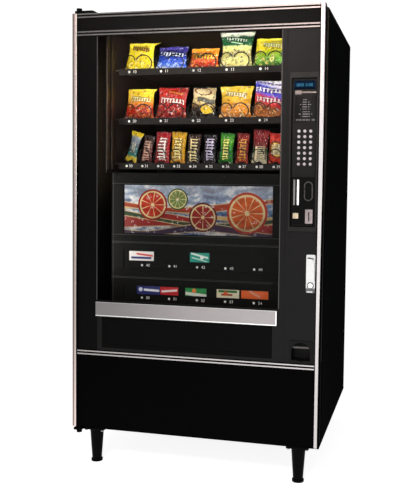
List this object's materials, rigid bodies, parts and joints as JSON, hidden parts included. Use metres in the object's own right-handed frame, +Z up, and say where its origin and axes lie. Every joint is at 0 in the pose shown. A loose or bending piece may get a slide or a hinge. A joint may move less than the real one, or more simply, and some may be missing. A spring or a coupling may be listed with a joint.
{
  "type": "combo vending machine",
  "caption": "Free-standing black vending cabinet with a glazed swing door, coil snack trays over a can section, selector keys, coin and bill panel, delivery flap, lock handle and legs.",
  "frame": {"origin": "on the floor, under the middle of the machine's box", "axes": "+Z up, -Y out of the front door, +X to the right of someone facing the front"},
  "size_m": [1.016, 0.925, 1.849],
  "materials": {
    "cabinet_paint": "satin black baked enamel",
    "back_sheet": "plain dark painted sheet",
    "door_paint": "textured black paint",
    "bright_trim": "satin extruded aluminium",
    "window_pane": "clear safety glass",
    "black_plastic": "moulded black plastic",
    "display_blue": "tinted display lens",
    "key_white": "moulded white keys",
    "chrome_metal": "bright plated metal",
    "lock_metal": "turned lock cylinder",
    "tray_paint": "dark painted sheet",
    "coil_wire": "dark drawn steel wire",
    "motor_case": "moulded motor cases and hubs",
    "pack_film": "printed film packs",
    "cooler_sheet": "plain painted sheet",
    "unit_metal": "plain machine enamel and cases",
    "lamp_tube": "white lamp tube and holders"
  },
  "bodies": {
    "cabinet": {"side_panels": "cabinet_paint", "top_panel": "cabinet_paint", "base_pan": "cabinet_paint", "hinge_brackets": "cabinet_paint", "legs": "cabinet_paint", "back_panel": "back_sheet", "can_panel": "black_plastic", "snack_trays": "tray_paint", "bay_walls": "tray_paint", "chip_coils": "coil_wire", "candy_coils": "coil_wire", "coil_motors": "motor_case", "chip_bags": "pack_film", "candy_bars": "pack_film", "can_cooler": "cooler_sheet", "cooling_unit": "unit_metal", "control_box": "unit_metal"},
    "door": {"door_header": "door_paint", "hinge_stile": "door_paint", "lock_stile": "door_paint", "kick_panel": "door_paint", "window_glass": "window_pane", "bright_trims": "bright_trim", "delivery_bar": "bright_trim", "delivery_bin": "black_plastic", "selector_bezel": "black_plastic", "display_lens": "display_blue", "money_plate": "black_plastic", "slot_plates": "chrome_metal", "coin_cup": "black_plastic", "lock_plate": "chrome_metal", "coin_changer": "unit_metal", "bill_validator": "unit_metal", "lamp": "lamp_tube"},
    "delivery_flap": {"delivery_flap": "black_plastic"},
    "coin_lever": {"coin_lever": "black_plastic"},
    "lock_rotor": {"lock_rotor": "chrome_metal"},
    "lock_handle": {"lock_handle": "chrome_metal"},
    "lock_cylinder": {"lock_cylinder": "lock_metal"},
    "key_1_1": {"key_1_1": "key_white"},
    "key_1_2": {"key_1_2": "key_white"},
    "key_1_3": {"key_1_3": "key_white"},
    "key_2_1": {"key_2_1": "key_white"},
    "key_2_2": {"key_2_2": "key_white"},
    "key_2_3": {"key_2_3": "key_white"},
    "key_3_1": {"key_3_1": "key_white"},
    "key_3_2": {"key_3_2": "key_white"},
    "key_3_3": {"key_3_3": "key_white"},
    "key_4_1": {"key_4_1": "key_white"},
    "key_4_2": {"key_4_2": "key_white"},
    "key_4_3": {"key_4_3": "key_white"},
    "key_5_1": {"key_5_1": "key_white"},
    "key_5_2": {"key_5_2": "key_white"},
    "key_5_3": {"key_5_3": "key_white"},
    "key_6_1": {"key_6_1": "key_white"},
    "key_6_2": {"key_6_2": "key_white"},
    "key_6_3": {"key_6_3": "key_white"},
    "key_7_1": {"key_7_1": "key_white"},
    "key_7_2": {"key_7_2": "key_white"},
    "key_7_3": {"key_7_3": "key_white"}
  },
  "joints": [
    {"name": "door_swing", "type": "hinge", "parent": "cabinet", "child": "door", "pos_m": [-0.486, -0.4425, 0.98], "axis": [0, 0, -1], "range_deg": [0, 100]},
    {"name": "flap_swing", "type": "hinge", "parent": "door", "child": "delivery_flap", "pos_m": [-0.03, -0.4475, 0.6035], "axis": [1, 0, 0], "range_deg": [0, 75]},
    {"name": "coin_lever_push", "type": "hinge", "parent": "door", "child": "coin_lever", "pos_m": [0.4525, -0.4465, 1.1515], "axis": [1, 0, 0], "range_deg": [0, 15], "stiffness_Nm_per_rad": 0.12},
    {"name": "lock_turn", "type": "hinge", "parent": "door", "child": "lock_rotor", "pos_m": [0.467, -0.4568, 0.868], "axis": [0, 1, 0], "range_deg": [0, 90]},
    {"name": "handle_lift", "type": "hinge", "parent": "lock_rotor", "child": "lock_handle", "pos_m": [0.467, -0.4596, 0.878], "axis": [-1, 0, 0], "range_deg": [0, 45]},
    {"name": "key_cylinder_turn", "type": "hinge", "parent": "door", "child": "lock_cylinder", "pos_m": [0.467, -0.4545, 0.776], "axis": [0, 1, 0], "range_deg": [0, 90]},
    {"name": "key_1_1_press", "type": "slide", "parent": "door", "child": "key_1_1", "axis": [0, 1, 0], "range_m": [0, 0.0025], "stiffness_N_per_m": 200},
    {"name": "key_1_2_press", "type": "slide", "parent": "door", "child": "key_1_2", "axis": [0, 1, 0], "range_m": [0, 0.0025], "stiffness_N_per_m": 200},
    {"name": "key_1_3_press", "type": "slide", "parent": "door", "child": "key_1_3", "axis": [0, 1, 0], "range_m": [0, 0.0025], "stiffness_N_per_m": 200},
    {"name": "key_2_1_press", "type": "slide", "parent": "door", "child": "key_2_1", "axis": [0, 1, 0], "range_m": [0, 0.0025], "stiffness_N_per_m": 200},
    {"name": "key_2_2_press", "type": "slide", "parent": "door", "child": "key_2_2", "axis": [0, 1, 0], "range_m": [0, 0.0025], "stiffness_N_per_m": 200},
    {"name": "key_2_3_press", "type": "slide", "parent": "door", "child": "key_2_3", "axis": [0, 1, 0], "range_m": [0, 0.0025], "stiffness_N_per_m": 200},
    {"name": "key_3_1_press", "type": "slide", "parent": "door", "child": "key_3_1", "axis": [0, 1, 0], "range_m": [0, 0.0025], "stiffness_N_per_m": 200},
    {"name": "key_3_2_press", "type": "slide", "parent": "door", "child": "key_3_2", "axis": [0, 1, 0], "range_m": [0, 0.0025], "stiffness_N_per_m": 200},
    {"name": "key_3_3_press", "type": "slide", "parent": "door", "child": "key_3_3", "axis": [0, 1, 0], "range_m": [0, 0.0025], "stiffness_N_per_m": 200},
    {"name": "key_4_1_press", "type": "slide", "parent": "door", "child": "key_4_1", "axis": [0, 1, 0], "range_m": [0, 0.0025], "stiffness_N_per_m": 200},
    {"name": "key_4_2_press", "type": "slide", "parent": "door", "child": "key_4_2", "axis": [0, 1, 0], "range_m": [0, 0.0025], "stiffness_N_per_m": 200},
    {"name": "key_4_3_press", "type": "slide", "parent": "door", "child": "key_4_3", "axis": [0, 1, 0], "range_m": [0, 0.0025], "stiffness_N_per_m": 200},
    {"name": "key_5_1_press", "type": "slide", "parent": "door", "child": "key_5_1", "axis": [0, 1, 0], "range_m": [0, 0.0025], "stiffness_N_per_m": 200},
    {"name": "key_5_2_press", "type": "slide", "parent": "door", "child": "key_5_2", "axis": [0, 1, 0], "range_m": [0, 0.0025], "stiffness_N_per_m": 200},
    {"name": "key_5_3_press", "type": "slide", "parent": "door", "child": "key_5_3", "axis": [0, 1, 0], "range_m": [0, 0.0025], "stiffness_N_per_m": 200},
    {"name": "key_6_1_press", "type": "slide", "parent": "door", "child": "key_6_1", "axis": [0, 1, 0], "range_m": [0, 0.0025], "stiffness_N_per_m": 200},
    {"name": "key_6_2_press", "type": "slide", "parent": "door", "child": "key_6_2", "axis": [0, 1, 0], "range_m": [0, 0.0025], "stiffness_N_per_m": 200},
    {"name": "key_6_3_press", "type": "slide", "parent": "door", "child": "key_6_3", "axis": [0, 1, 0], "range_m": [0, 0.0025], "stiffness_N_per_m": 200},
    {"name": "key_7_1_press", "type": "slide", "parent": "door", "child": "key_7_1", "axis": [0, 1, 0], "range_m": [0, 0.0025], "stiffness_N_per_m": 200},
    {"name": "key_7_2_press", "type": "slide", "parent": "door", "child": "key_7_2", "axis": [0, 1, 0], "range_m": [0, 0.0025], "stiffness_N_per_m": 200},
    {"name": "key_7_3_press", "type": "slide", "parent": "door", "child": "key_7_3", "axis": [0, 1, 0], "range_m": [0, 0.0025], "stiffness_N_per_m": 200}
  ]
}
